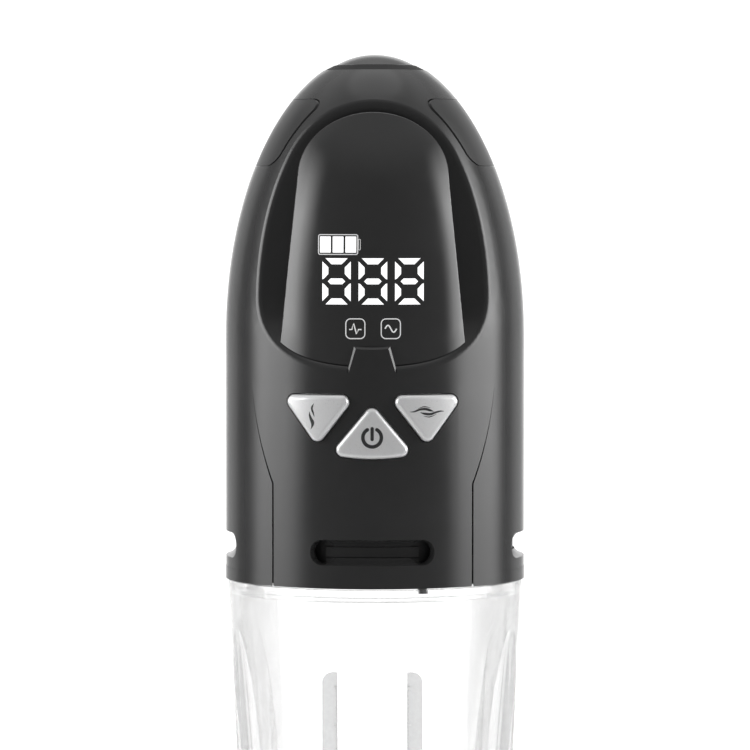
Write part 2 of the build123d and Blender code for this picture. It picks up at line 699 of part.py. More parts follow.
# ---- Collar and floor --------------------------------------------------------------
def make_base_collar():
    """Ring inside the head's lower edge, with the bayonet's ledges and a stop tab."""
    collar = ring(COLLAR_R, COLLAR_BORE_R, *COLLAR_Z)
    for level in (SLOT_Z - SLOT_FLOOR_HALF_H, SLOT_Z + SLOT_FLOOR_HALF_H):
        half = COLLAR_GROOVE_H / 2
        collar -= ring(COLLAR_R + 1, COLLAR_R - COLLAR_GROOVE_DEPTH, level - half, level + half)
    for azimuth in (-90, 0, 90, 180):
        for end in (-SLOT_END_ANGLE, SLOT_END_ANGLE):
            shift = WELL_ANGLE / 2 if end > 0 else -WELL_ANGLE / 2
            well = sector(WELL_ANGLE, azimuth + end + shift, *WELL_Z)
            collar -= well & ring(COLLAR_R + 1, COLLAR_R - WELL_DEPTH, *WELL_Z)
    ledge = ring(COLLAR_BORE_R, LEDGE_R, *LEDGE_Z)
    step = 360 / BAYONET_COUNT
    for index in range(BAYONET_COUNT):
        ledge -= sector(ENTRY_ANGLE, 90 + index * step, -5, 20)
    flange = ring(HEAD_R - SHELL_T, COLLAR_R, COLLAR_FLANGE_Z, COLLAR_Z[1])
    stop = ring(COLLAR_R - 0.4, COLLAR_BORE_R, STOP_LOW_Z, COLLAR_Z[0])
    stop &= sector(STOP_ANGLE, STOP_AZIMUTH, -5, 5)
    return collar + ledge + flange + stop


def make_head_floor():
    """Plate that closes the head, with the seal's groove and the suction port."""
    floor = disc(FLOOR_R, *FLOOR_Z) + ring(COLLAR_BORE_R, NECK_R + 0.4, FLOOR_Z[0] - 1, FLOOR_Z[1])
    boss = disc(8.0, 7.0, FLOOR_Z[0])
    port = disc(2.5, 0, 20)
    return floor + boss - port - floor_screw_holes()


def floor_screw_places():
    angles = [45 + 90 * index for index in range(4)]
    return [(FLOOR_SCREW_RING_R * cos(radians(a)), FLOOR_SCREW_RING_R * sin(radians(a))) for a in angles]


def floor_screw_holes():
    holes = [Pos(x, y, 12) * Cylinder(FLOOR_SCREW_R + 0.05, 10) for x, y in floor_screw_places()]
    return Part() + holes


def make_floor_screws():
    screws = []
    for x, y in floor_screw_places():
        head = Pos(x, y, 0) * disc(2.6, FLOOR_Z[0] - 1.5, FLOOR_Z[0])
        shank = Pos(x, y, 0) * disc(FLOOR_SCREW_R, FLOOR_Z[0], FLOOR_Z[1] + 4)
        drive = Pos(x, y, FLOOR_Z[0] - 1.5) * (Box(2.8, 0.7, 1.2) + Box(0.7, 2.8, 1.2))
        screws.append(head + shank - drive)
    return group(screws)


def make_inlet_filter():
    """Slotted cup over the suction port."""
    cup = disc(10.0, 2.0, 7.0) - disc(8.6, 3.2, 7.0)
    for x in range(-6, 7, 3):
        cup -= Pos(x, 0, 2) * Box(1.2, 12, 4)
    return cup


def make_inlet_valve():
    """Umbrella valve in the port."""
    return disc(2.4, 5.4, 9.6) + disc(4.4, 4.6, 5.4)


def make_neck_seal():
    section = Plane.XZ * (Pos(SEAL_RING_R, NECK_TOP_Z + 0.3 + SEAL_SECTION_R) * Circle(SEAL_SECTION_R))
    return revolve(section, Axis.Z)


# ---- Cylinder and its ring ---------------------------------------------------------
def tube_radius(z):
    """Outer radius of the tube: a cone above, easing to upright below."""
    low = TUBE_TAPER_END_Z
    cone = TUBE_TOP_R + TUBE_TAPER * (max(z, low) + SEAT_GAP)
    if z >= low:
        return cone
    run = low - z
    return cone - TUBE_TAPER * run + TUBE_TAPER * run ** 2 / (2 * (low - TUBE_BOTTOM_Z))


def tube_form(inset, low_z, high_z):
    """Solid tube shape: its cone, then one arc down to the open end."""
    middle_z = (TUBE_TAPER_END_Z + low_z) / 2
    bend = [(tube_radius(z) - inset, z) for z in (TUBE_TAPER_END_Z, middle_z, low_z)]
    top = (tube_radius(high_z) - inset, high_z)
    outline = Polyline(bend[2], (0, low_z), (0, high_z), top, bend[0]) + ThreePointArc(*bend)
    return revolve(make_face(Plane.XZ * outline), Axis.Z)


def flute_tool(azimuth):
    """Long hollow cutter whose curved face grazes the tube at both ends."""
    arc = ThreePointArc(*FLUTE_FLOOR)
    top, bottom = arc @ 0, arc @ 1
    sides = Polyline(bottom, (BIG, bottom.Y), (BIG, top.Y), top)
    face = make_face(Plane.XZ * (arc + sides))
    return Rot(0, 0, azimuth - 90) * extrude(face, FLUTE_HALF_W, both=True)


def make_cylinder():
    """Clear tube with a shoulder, a bayonet neck, flutes and a flange at the open end."""
    top_z = -SEAT_GAP
    tube = tube_form(0, TUBE_BOTTOM_Z, top_z) - tube_form(TUBE_T, TUBE_BOTTOM_Z, top_z - SHOULDER_T)
    for azimuth in FLUTE_AZIMUTHS:
        tube -= flute_tool(azimuth)
    tube += ring(NECK_R, NECK_BORE_R, top_z - 0.1, NECK_TOP_Z)
    tube -= disc(NECK_BORE_R, top_z - SHOULDER_T - 1, top_z + 0.1)
    tube -= ring(37.6, 34.4, top_z - 2.2, top_z + 1)
    step = 360 / BAYONET_COUNT
    lugs = ring(LUG_R, NECK_R, *LUG_Z)
    for index in range(BAYONET_COUNT):
        tube += lugs & sector(LUG_ANGLE, 90 + index * step, *LUG_Z)
    bore_r = tube_radius(TUBE_BOTTOM_Z) - TUBE_T
    return tube + ring(FLANGE_R, bore_r, TUBE_BOTTOM_Z - FLANGE_H, TUBE_BOTTOM_Z)


def make_scale_strips():
    """Two frosted strips on the front of the tube, rounded at their outer corners."""
    skin = tube_form(-STRIP_T, STRIP_BOTTOM_Z - 5, -5) - tube_form(0, STRIP_BOTTOM_Z - 5, -5)
    inner_x, outer_x = STRIP_X
    corners = [(inner_x, STRIP_BOTTOM_Z), (outer_x, STRIP_BOTTOM_Z), (outer_x, STRIP_TOP_Z),
               (inner_x, STRIP_TOP_Z)]
    face = make_face(Polyline(*corners, close=True))
    outer = [v for v in face.vertices() if v.X > inner_x + 1]
    face = fillet(outer, STRIP_CORNER_R)
    strips = [skin & front_prism(shape, 15, BIG) for shape in (face, mirror(face, Plane.YZ))]
    return group(strips)


def make_base_seal():
    """Soft ring that grips the flange and cushions the open end."""
    low_z = -LIFT
    high_z = low_z + BASE_H
    lip_r = tube_radius(high_z) + 0.05
    outline = Polyline((BASE_BORE_R, low_z + 4), (BASE_BORE_R, low_z + 3), (BASE_BORE_R + 3, low_z),
                       (BASE_R - 3, low_z))
    outer = ThreePointArc((BASE_R - 3, low_z), (BASE_R, low_z + 9), (lip_r + 2.5, high_z))
    inner = Polyline((lip_r + 2.5, high_z), (lip_r, high_z), (lip_r, TUBE_BOTTOM_Z),
                     (FLANGE_R, TUBE_BOTTOM_Z), (FLANGE_R, TUBE_BOTTOM_Z - FLANGE_H),
                     (FLANGE_R - 8, TUBE_BOTTOM_Z - FLANGE_H), (BASE_BORE_R, low_z + 4))
    return revolve(make_face(Plane.XZ * (outline + outer + inner)), Axis.Z)


# ---- Assembly ----------------------------------------------------------------------
def build_parts():
    form = make_scooped_form()
    hollow = make_hollow()
    window = make_window()
    parts = {
        "main_housing": make_main_housing(form, hollow),
        "front_cover": make_front_cover(form, hollow, window),
        "display_window": window,
        "left_grip_inlay": make_pad_inlay(-1),
        "right_grip_inlay": make_pad_inlay(1),
        "release_button": make_release_button(),
        "cap_ring": make_cap_ring(),
        "release_spring": make_release_spring(),
        "release_valve_body": make_valve_body(),
        "release_valve_seal": make_valve_seal(),
        "control_board": make_control_board(),
        "key_switches": make_key_switches(),
        "display_module": make_display_module(),
        "display_diffuser": make_display_diffuser(),
        "battery_cells": make_battery_cells(),
        "battery_cradle": make_battery_cradle(),
        "battery_leads": make_battery_leads(),
        "inner_chassis": make_inner_chassis(),
        "chassis_screws": make_chassis_screws(),
        "pump_motor": make_pump_motor(),
        "motor_shaft": make_motor_shaft(),
        "eccentric": make_eccentric(),
        "pump_body": make_pump_body(),
        "pump_diaphragm": make_pump_diaphragm(),
        "air_hose": make_air_hose(),
        "vent_hose": make_vent_hose(),
        "charge_socket": make_charge_socket(),
        "charge_flap": make_charge_flap(),
        "flap_pin": make_flap_pin(),
        "base_collar": make_base_collar(),
        "head_floor": make_head_floor(),
        "floor_screws": make_floor_screws(),
        "inlet_filter": make_inlet_filter(),
        "inlet_valve": make_inlet_valve(),
        "neck_seal": make_neck_seal(),
        "cylinder": make_cylinder(),
        "scale_strips": make_scale_strips(),
        "base_seal": make_base_seal(),
    }
    for name in key_outlines():
        parts[name] = make_button(name)
    return parts


os.makedirs("parts", exist_ok=True)
for node, shape in build_parts().items():
    export_step(Pos(0, 0, LIFT) * shape, f"parts/{node}.step")
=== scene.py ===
import json
from math import cos, pi, radians, sin

import bmesh
import bpy
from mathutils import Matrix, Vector
from mathutils.bvhtree import BVHTree


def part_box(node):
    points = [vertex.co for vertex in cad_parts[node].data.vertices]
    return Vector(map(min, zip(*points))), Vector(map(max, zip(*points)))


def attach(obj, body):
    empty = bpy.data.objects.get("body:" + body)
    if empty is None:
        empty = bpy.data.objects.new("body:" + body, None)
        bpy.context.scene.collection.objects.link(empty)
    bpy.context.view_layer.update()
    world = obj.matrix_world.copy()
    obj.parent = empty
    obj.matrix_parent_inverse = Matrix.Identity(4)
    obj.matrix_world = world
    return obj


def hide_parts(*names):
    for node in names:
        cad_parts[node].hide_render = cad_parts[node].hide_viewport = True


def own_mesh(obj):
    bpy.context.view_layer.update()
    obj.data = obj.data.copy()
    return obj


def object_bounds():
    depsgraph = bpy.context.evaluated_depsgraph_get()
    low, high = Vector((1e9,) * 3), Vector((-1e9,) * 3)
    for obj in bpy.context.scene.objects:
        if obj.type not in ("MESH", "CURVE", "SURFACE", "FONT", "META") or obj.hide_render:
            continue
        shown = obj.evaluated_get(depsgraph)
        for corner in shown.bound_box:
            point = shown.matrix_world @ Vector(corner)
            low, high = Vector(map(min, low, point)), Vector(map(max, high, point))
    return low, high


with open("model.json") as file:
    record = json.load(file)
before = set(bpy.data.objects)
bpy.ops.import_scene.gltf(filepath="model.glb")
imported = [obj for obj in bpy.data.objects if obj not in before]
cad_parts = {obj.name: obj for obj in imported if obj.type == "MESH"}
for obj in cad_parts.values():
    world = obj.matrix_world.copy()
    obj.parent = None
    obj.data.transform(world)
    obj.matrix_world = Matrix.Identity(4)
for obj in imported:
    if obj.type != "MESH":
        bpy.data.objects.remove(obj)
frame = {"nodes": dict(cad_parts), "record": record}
nodes = frame["nodes"]
cad_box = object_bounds()

MM = 0.001
HEAD_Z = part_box("front_cover")[0].z          # the head's lower edge
GLASS_LIFT = 0.03 * MM                       # how far printed marks stand off their surface
PRINT_DEPTH = 0.06 * MM

# Light levels of the studio, as radiance
FRONT_LEVEL = 0.16
LEFT_LEVEL = 5.3
RIGHT_LEVEL = 5.9
BACK_LEVEL = 1.3
FLANK_LEVEL = 0.62
TOP_LEVEL = 1.0
THROUGH_LEVEL = 0.74
SEEN_LEVEL = 1.0
BAND_RISE = (-0.14, 0.0)
BAND_FALL = (0.35, 0.72)

# Azimuths in degrees from the front, where each part of the studio light sets in and ends
RIGHT_RISE, RIGHT_FALL = (57, 76), (102, 119)
LEFT_RISE, LEFT_FALL = (50, 72), (96, 112)
FLANK_RISE = (122, 138)
BACK_RISE = (150, 168)
# The same by height, from -1 straight down to 1 straight up
BACK_END = (0.35, 0.7)
TOP_RISE = (0.45, 0.85)
TOP_LEAN = (-0.3, 0.4)                       # front to back, over which the top grows brighter
TOP_FRONT_SHARE = 0.4

# Camera and overhead light
CAMERA_DISTANCE = 1.224
CAMERA_AZIMUTH = 1.1
CAMERA_HEIGHT = 0.1053                       # above the head's lower edge
CAMERA_PITCH = 2.39
CAMERA_LENS = 219.0
OVERHEAD_SIZE = 0.9
OVERHEAD_POWER = 1.2
OVERHEAD_AT = (0.15, 1.3)                    # behind the axis, and above the head's lower edge
FLOOR_R = 0.42

# Display, in mm from the axis and the head's lower edge
DIGIT_W, DIGIT_H = 7.45, 12.0
DIGIT_X, DIGIT_Z = 0.18, 80.15
DIGIT_PITCH = 9.47
SEGMENT_T = 1.58
SEGMENT_GAP = 0.82
BATTERY_AT = (-8.92, 89.7)
BATTERY_HALF = (5.25, 2.68)
BATTERY_NUB_SHIFT = 5.55
BATTERY_NUB_HALF = (0.32, 1.45)
BAR_HALF = (1.42, 2.1)
BAR_PITCH = 3.33
MODE_X = (-4.36, 4.86)
MODE_Z = 67.87
MODE_HALF = (2.62, 2.7)
MODE_STROKE = 0.36

# Power sign on its key, in mm
POWER_AT = (0.05, 39.65)
POWER_R = 2.4
POWER_STROKE = 0.92

# Ticks on the strips, in mm
TICK_COUNT = 108
TICK_PITCH = 1.02
TICK_TOP_Z = -25.6
TICK_X = 9.14
TICK_HALF_H = 0.12
TICK_LENGTHS = (0.42, 1.0)                   # each tick, and every tenth

# Coil under the cap
COIL_TURNS = 5
COIL_STEPS = 36                              # points in each turn
COIL_WIRE_R = 0.45 * MM


# ---- Node helpers ------------------------------------------------------------------
def new_material(name):
    material = bpy.data.materials.new(name)
    material.use_nodes = True
    tree = material.node_tree
    return material, tree, tree.nodes["Principled BSDF"]


def noise(tree, scale, detail=3.0, rough=0.55):
    """Noise in the part's own coordinates; scale is features per metre."""
    coords = tree.nodes.new("ShaderNodeTexCoord")
    texture = tree.nodes.new("ShaderNodeTexNoise")
    texture.inputs["Scale"].default_value = scale
    texture.inputs["Detail"].default_value = detail
    texture.inputs["Roughness"].default_value = rough
    tree.links.new(coords.outputs["Object"], texture.inputs["Vector"])
    return texture.outputs["Fac"]


def ranged(tree, value, low, high, from_low=0.3, from_high=0.7):
    node = tree.nodes.new("ShaderNodeMapRange")
    node.inputs["From Min"].default_value = from_low
    node.inputs["From Max"].default_value = from_high
    node.inputs["To Min"].default_value = low
    node.inputs["To Max"].default_value = high
    tree.links.new(value, node.inputs["Value"])
    return node.outputs["Result"]


def add_bump(tree, shader, height, strength, distance):
    bump = tree.nodes.new("ShaderNodeBump")
    bump.inputs["Strength"].default_value = strength
    bump.inputs["Distance"].default_value = distance
    tree.links.new(height, bump.inputs["Height"])
    tree.links.new(bump.outputs["Normal"], shader.inputs["Normal"])


def vary_colour(tree, shader, value, dark, light):
    ramp = tree.nodes.new("ShaderNodeValToRGB")
    ramp.color_ramp.elements[0].position = 0.3
    ramp.color_ramp.elements[0].color = (*dark, 1)
    ramp.color_ramp.elements[1].position = 0.7
    ramp.color_ramp.elements[1].color = (*light, 1)
    tree.links.new(value, ramp.inputs["Fac"])
    tree.links.new(ramp.outputs["Color"], shader.inputs["Base Color"])


def grey(value):
    return (value, value, value * 1.01)


# ---- Materials ---------------------------------------------------------------------
def moulded(name, tone, roughness, grain=5200, depth=0.012, spread=0.05, specular=0.5):
    """Moulded plastic or rubber: fine spark grain, slow changes of gloss and of tone."""
    material, tree, shader = new_material(name)
    slow = noise(tree, 60, 4)
    vary_colour(tree, shader, slow, grey(tone * 0.93), grey(tone * 1.07))
    gloss = ranged(tree, noise(tree, 140, 5), roughness - spread / 2, roughness + spread / 2)
    tree.links.new(gloss, shader.inputs["Roughness"])
    shader.inputs["Specular IOR Level"].default_value = specular
    add_bump(tree, shader, noise(tree, grain, 2), 0.25, depth * MM)
    return material


def metal(name, colour, roughness, grain=2600):
    """Plated or drawn metal with faint drawing marks."""
    material, tree, shader = new_material(name)
    shader.inputs["Metallic"].default_value = 1.0
    dark = tuple(c * 0.88 for c in colour)
    vary_colour(tree, shader, noise(tree, 300, 4), dark, colour)
    gloss = ranged(tree, noise(tree, grain, 3), roughness * 0.8, roughness * 1.25)
    tree.links.new(gloss, shader.inputs["Roughness"])
    add_bump(tree, shader, noise(tree, grain, 2), 0.15, 0.01 * MM)
    return material


def silver_paint():
    """Satin silver paint: bright flake in a clear coat."""
    material, tree, shader = new_material("silver_key")
    shader.inputs["Metallic"].default_value = 0.3
    vary_colour(tree, shader, noise(tree, 9000, 2), (0.88, 0.88, 0.885), (0.97, 0.97, 0.975))
    gloss = ranged(tree, noise(tree, 5000, 2), 0.27, 0.36)
    tree.links.new(gloss, shader.inputs["Roughness"])
    shader.inputs["Coat Weight"].default_value = 0.25
    shader.inputs["Coat Roughness"].default_value = 0.12
    add_bump(tree, shader, noise(tree, 6500, 2), 0.2, 0.008 * MM)
    return material


def smoked_lens():
    """Deep black polished lens with a trace of orange peel."""
    material, tree, shader = new_material("smoked_lens")
    vary_colour(tree, shader, noise(tree, 45, 3), grey(0.030), grey(0.034))
    gloss = ranged(tree, noise(tree, 220, 4), 0.11, 0.17)
    tree.links.new(gloss, shader.inputs["Roughness"])
    shader.inputs["Specular IOR Level"].default_value = 0.68
    add_bump(tree, shader, noise(tree, 160, 2), 0.05, 0.02 * MM)
    return material


def clear_plastic():
    """Clear polycarbonate with faint flow lines."""
    material, tree, shader = new_material("clear_tube")
    shader.inputs["Base Color"].default_value = (1, 1, 1, 1)
    shader.inputs["Transmission Weight"].default_value = 1.0
    shader.inputs["IOR"].default_value = 1.49
    shader.inputs["Alpha"].default_value = 0.7
    gloss = ranged(tree, noise(tree, 90, 3), 0.0, 0.015)
    tree.links.new(gloss, shader.inputs["Roughness"])
    add_bump(tree, shader, noise(tree, 70, 2), 0.03, 0.05 * MM)
    return material


def frosted_print():
    """Thin white frosted film on the tube."""
    material, tree, shader = new_material("frosted_print")
    vary_colour(tree, shader, noise(tree, 900, 3), (0.80, 0.805, 0.81), (0.86, 0.865, 0.87))
    shader.inputs["Alpha"].default_value = 0.42
    gloss = ranged(tree, noise(tree, 1500, 3), 0.55, 0.7)
    tree.links.new(gloss, shader.inputs["Roughness"])
    return material


def lit_mark(name, level):
    """White light from the display, a little uneven across each mark."""
    material, tree, shader = new_material(name)
    shader.inputs["Base Color"].default_value = (0.5, 0.5, 0.5, 1)
    glow = tree.nodes.new("ShaderNodeValToRGB")
    glow.color_ramp.elements[0].color = (0.93, 0.94, 0.95, 1)
    glow.color_ramp.elements[1].color = (1.0, 1.0, 1.0, 1)
    tree.links.new(noise(tree, 500, 2), glow.inputs["Fac"])
    tree.links.new(glow.outputs["Color"], shader.inputs["Emission Color"])
    shader.inputs["Emission Strength"].default_value = level
    shader.inputs["Roughness"].default_value = 0.4
    return material


def circuit_board():
    material, tree, shader = new_material("circuit_board")
    vary_colour(tree, shader, noise(tree, 700, 4), (0.012, 0.10, 0.045), (0.02, 0.15, 0.07))
    gloss = ranged(tree, noise(tree, 900, 3), 0.25, 0.4)
    tree.links.new(gloss, shader.inputs["Roughness"])
    add_bump(tree, shader, noise(tree, 1200, 3), 0.2, 0.03 * MM)
    return material


def coloured(name, colour, roughness):
    """Coloured insulation, shrink wrap or silicone."""
    material, tree, shader = new_material(name)
    dark = tuple(c * 0.85 for c in colour)
    vary_colour(tree, shader, noise(tree, 200, 3), dark, colour)
    gloss = ranged(tree, noise(tree, 800, 3), roughness * 0.85, roughness * 1.15)
    tree.links.new(gloss, shader.inputs["Roughness"])
    add_bump(tree, shader, noise(tree, 1500, 2), 0.15, 0.02 * MM)
    return material


def make_materials():
    made = {
        "black_shell": moulded("black_shell", 0.034, 0.21, spread=0.03),
        "soft_grip": moulded("soft_grip", 0.032, 0.3, grain=3600, depth=0.012, spread=0.03),
        # Dark, dull finish for the ring at the cap's foot: darker than the shell and with little
        # reflection
        "dark_dull_cap_ring": moulded("dark_dull_cap_ring", 0.02, 0.6, specular=0.2),
        "smoked_lens": smoked_lens(),
        "silver_key": silver_paint(),
        "clear_tube": clear_plastic(),
        "frosted_print": frosted_print(),
        "display_white": lit_mark("display_light", 1.0),
        "display_dim": lit_mark("display_line", 0.42),
        "circuit_board": circuit_board(),
        "inner_plastic": moulded("inner_plastic", 0.10, 0.45),
        "collar_plastic": moulded("collar_plastic", 0.022, 0.36),
        "switch_black": moulded("switch_black", 0.04, 0.4),
        "seal_rubber": moulded("seal_rubber", 0.035, 0.55, grain=2500),
        "soft_ring": moulded("soft_ring", 0.030, 0.46, grain=2200, depth=0.03),
        "spring_steel": metal("spring_steel", (0.62, 0.62, 0.62), 0.22),
        "screw_steel": metal("screw_steel", (0.58, 0.58, 0.59), 0.25),
        "socket_steel": metal("socket_steel", (0.62, 0.62, 0.63), 0.22),
        "motor_steel": metal("motor_steel", (0.50, 0.50, 0.51), 0.32),
        "brass_part": metal("brass_part", (0.72, 0.52, 0.22), 0.28),
        "cell_wrap": coloured("cell_wrap", (0.04, 0.18, 0.45), 0.3),
        "wire_red": coloured("wire_red", (0.55, 0.03, 0.03), 0.4),
        "hose_silicone": coloured("hose_silicone", (0.72, 0.72, 0.70), 0.4),
    }
    made["sign_ink"] = moulded("sign_ink", 0.035, 0.5)
    made["tick_ink"] = moulded("tick_ink", 0.42, 0.6)
    return made


def dress_nodes(materials):
    """Give every CAD node the material of its slot."""
    for part in frame["record"]["subparts"]:
        slots = nodes[part["node"]].data.materials
        slots.clear()
        slots.append(materials[part["material_slot"]])
    # The ring at the cap's foot takes the dark, dull finish in place of its slot's material
    nodes["cap_ring"].data.materials[0] = materials["dark_dull_cap_ring"]


# ---- Printed and lit marks ---------------------------------------------------------
def surface_of(node):
    """Search tree over a CAD node's surface."""
    mesh = nodes[node].data
    points = [v.co.copy() for v in mesh.vertices]
    return BVHTree.FromPolygons(points, [tuple(p.vertices) for p in mesh.polygons])


def on_front(tree, x, z):
    """The frontmost point of a surface at x and z, and its outward normal."""
    point, normal, _, _ = tree.ray_cast(Vector((x, -1, z)), Vector((0, 1, 0)))
    if point is None:
        raise ValueError(f"no surface in front at {x:.4f}, {z:.4f}")
    if normal.y > 0:
        normal = -normal
    return point, normal


def mark(name, outlines, tree, body, material, step=0.6 * MM):
    """Thin raised shapes that follow a surface; outlines are closed loops of x and z."""
    mesh = bmesh.new()
    for outline in outlines:
        face = mesh.faces.new([mesh.verts.new((x, 0, z)) for x, z in outline])
        if face.normal.y > 0:
            face.normal_flip()
    bmesh.ops.triangulate(mesh, faces=mesh.faces[:])
    for _ in range(6):
        long_edges = [e for e in mesh.edges if e.calc_length() > step]
        if not long_edges:
            break
        bmesh.ops.subdivide_edges(mesh, edges=long_edges, cuts=1)
        bmesh.ops.triangulate(mesh, faces=mesh.faces[:])
    for vert in mesh.verts:
        point, normal = on_front(tree, vert.co.x, vert.co.z)
        vert.co = point + normal * GLASS_LIFT
    base = mesh.verts[:]
    bmesh.ops.extrude_face_region(mesh, geom=mesh.faces[:], use_keep_orig=True)
    for vert in base:
        vert.co.y += PRINT_DEPTH
    bmesh.ops.recalc_face_normals(mesh, faces=mesh.faces[:])
    data = bpy.data.meshes.new(name)
    mesh.to_mesh(data)
    mesh.free()
    piece = bpy.data.objects.new(name, data)
    bpy.context.scene.collection.objects.link(piece)
    data.materials.append(material)
    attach(piece, body)
    return piece


def arc(cx, cz, radius, start, end, steps=12):
    """Points on an arc, from one angle in degrees to another."""
    angles = [radians(start + (end - start) * i / steps) for i in range(steps + 1)]
    return [(cx + radius * cos(a), cz + radius * sin(a)) for a in angles]


def rounded_box(cx, cz, half_w, half_h, radius):
    corners = [(1, 1, 0), (-1, 1, 90), (-1, -1, 180), (1, -1, 270)]
    points = []
    for sx, sz, start in corners:
        x, z = cx + sx * (half_w - radius), cz + sz * (half_h - radius)
        points += arc(x, z, radius, start, start + 90, 5)
    return points


def frame_strips(outer, inner):
    """The band between two closed loops of equal length, as four-sided pieces."""
    count = len(outer)
    following = [(i + 1) % count for i in range(count)]
    return [[outer[i], outer[j], inner[j], inner[i]] for i, j in enumerate(following)]


def ribbon(points, widths):
    """A stroke of changing width along a line of points, as four-sided pieces."""
    left, right = [], []
    last = len(points) - 1
    for i, (x, z) in enumerate(points):
        ax, az = points[max(i - 1, 0)]
        bx, bz = points[min(i + 1, last)]
        length = ((bx - ax) ** 2 + (bz - az) ** 2) ** 0.5
        nx, nz = -(bz - az) / length, (bx - ax) / length
        left.append((x + nx * widths[i] / 2, z + nz * widths[i] / 2))
        right.append((x - nx * widths[i] / 2, z - nz * widths[i] / 2))
    return [[left[i], left[i + 1], right[i + 1], right[i]] for i in range(last)]


def digit_segments(cx, cz):
    """The seven segments of one digit, with wide mitred gaps between them."""
    w, h, t, g = DIGIT_W / 2, DIGIT_H / 2, SEGMENT_T, SEGMENT_GAP
    top = [(g - w, h), (w - g, h), (w - g - t, h - t), (g + t - w, h - t)]
    bottom = [(x, -z) for x, z in top]
    bar = t * 0.48
    tip = w - 0.4 * t - g
    middle = [(-tip, 0), (bar - tip, bar), (tip - bar, bar),
              (tip, 0), (tip - bar, -bar), (bar - tip, -bar)]
    upper = [(-w, h - g), (t - w, h - g - t), (t - w, 0.32 * h),
             (0.3 * t - w, 0.12 * h), (-w, 0.08 * h)]
    sides = [[(sx * x, sz * z) for x, z in upper] for sx in (1, -1) for sz in (1, -1)]
    shapes = [top, bottom, middle, *sides]
    return [[(cx + x, cz + z) for x, z in shape] for shape in shapes]


def to_metres(outlines):
    return [[(x * MM, HEAD_Z + z * MM) for x, z in outline] for outline in outlines]


def box_outline(cx, cz, half_w, half_h, radius, line):
    """Rounded rectangle drawn as a thin line."""
    outer = rounded_box(cx, cz, half_w, half_h, radius)
    inner = rounded_box(cx, cz, half_w - line, half_h - line, max(radius - line, 0.08))
    return frame_strips(outer, inner)


def battery_outline():
    cx, cz = BATTERY_AT
    return (box_outline(cx, cz, *BATTERY_HALF, 0.55, 0.24)
            + box_outline(cx + BATTERY_NUB_SHIFT, cz, *BATTERY_NUB_HALF, 0.2, 0.14))


def battery_bars():
    cx, cz = BATTERY_AT
    return [rounded_box(cx + i * BAR_PITCH, cz, *BAR_HALF, 0.12) for i in (-1, 0, 1)]


def mode_signs():
    """Two rounded squares: a pulse line in one, a wave in the other."""
    shapes = []
    for cx in MODE_X:
        shapes += box_outline(cx, MODE_Z, *MODE_HALF, 1.35, 0.27)
    steps = [(-1.6, -0.2), (-0.9, -0.2), (-0.45, 1.35), (0.3, -1.35), (0.8, -0.2), (1.6, -0.2)]
    pulse = [(MODE_X[0] + x, MODE_Z + z) for x, z in steps]
    shapes += ribbon(pulse, [MODE_STROKE] * len(pulse))
    turns = [i / 8 - 1 for i in range(17)]
    wave = [(MODE_X[1] + 1.5 * t, MODE_Z + 0.9 * sin((t + 1) * pi)) for t in turns]
    return shapes + ribbon(wave, [MODE_STROKE] * len(wave))


def display_marks(materials):
    window = surface_of("display_window")
    bright, dim = materials["display_white"], materials["display_dim"]
    for index in (-1, 0, 1):
        outlines = to_metres(digit_segments(DIGIT_X + index * DIGIT_PITCH, DIGIT_Z))
        mark(f"display_digit_{index + 2}", outlines, window, "head", bright)
    mark("battery_outline", to_metres(battery_outline()), window, "head", dim)
    mark("battery_bars", to_metres(battery_bars()), window, "head", bright)
    mark("mode_signs", to_metres(mode_signs()), window, "head", dim)


def power_sign():
    cx, cz = POWER_AT
    around = arc(cx, cz, POWER_R, 121, 419, 40)
    shapes = ribbon(around, [POWER_STROKE] * len(around))
    half = POWER_STROKE / 2
    shapes.append(rounded_box(cx, cz + 0.95, half - 0.03, 1.85, half - 0.04))
    for x, z in (around[0], around[-1]):
        shapes.append(arc(x, z, half, 0, 345, 23))
    return shapes


def curve_points(controls, steps=6):
    """Smooth line (Catmull-Rom) through control points of x, z and stroke width."""
    ends = [controls[0], *controls, controls[-1]]
    line = []
    for i in range(1, len(ends) - 2):
        before, start, stop, after = ends[i - 1:i + 3]
        for step in range(steps):
            t = step / steps
            line.append(tuple(
                0.5 * (2 * b + (c - a) * t + (2 * a - 5 * b + 4 * c - d) * t ** 2
                       + (3 * b - a - 3 * c + d) * t ** 3)
                for a, b, c, d in zip(before, start, stop, after)))
    line.append(controls[-1])
    return line


def brush(controls):
    """Stroke of swelling width through control points of x, z and width."""
    line = curve_points(controls)
    return ribbon([(x, z) for x, z, _ in line], [max(w, 0.03) for _, _, w in line])


def upright_sign():
    """Two leaf strokes, one above the other."""
    upper = [(-15.14, 48.4, 0.05), (-15.6, 47.6, 0.42), (-15.68, 46.9, 0.5), (-15.38, 46.0, 0.42),
             (-15.04, 44.9, 0.05)]
    lower = [(-16.26, 46.3, 0.05), (-16.28, 45.4, 0.42), (-15.9, 44.3, 0.75), (-15.5, 43.4, 0.88),
             (-15.62, 42.5, 0.5), (-15.97, 41.7, 0.05)]
    return brush(upper) + brush(lower)


def level_sign():
    """Two interlocking waves, each with a fine line beside it."""
    upper = [(9.81, 46.3, 0.05), (10.95, 46.36, 0.35), (12.36, 46.86, 0.5), (13.79, 47.0, 0.62),
             (14.96, 46.68, 0.6), (16.03, 46.31, 0.05)]
    lower = [(12.49, 46.13, 0.05), (13.79, 45.74, 0.6), (15.22, 45.66, 0.62), (16.63, 46.12, 0.48),
             (17.83, 46.39, 0.35), (18.71, 46.3, 0.05)]
    over = [(11.9, 47.08, 0.05), (13.55, 47.62, 0.24), (15.2, 47.24, 0.05)]
    under = [(13.4, 45.16, 0.05), (14.96, 44.93, 0.24), (16.7, 45.62, 0.05)]
    return brush(upper) + brush(lower) + brush(over) + brush(under)


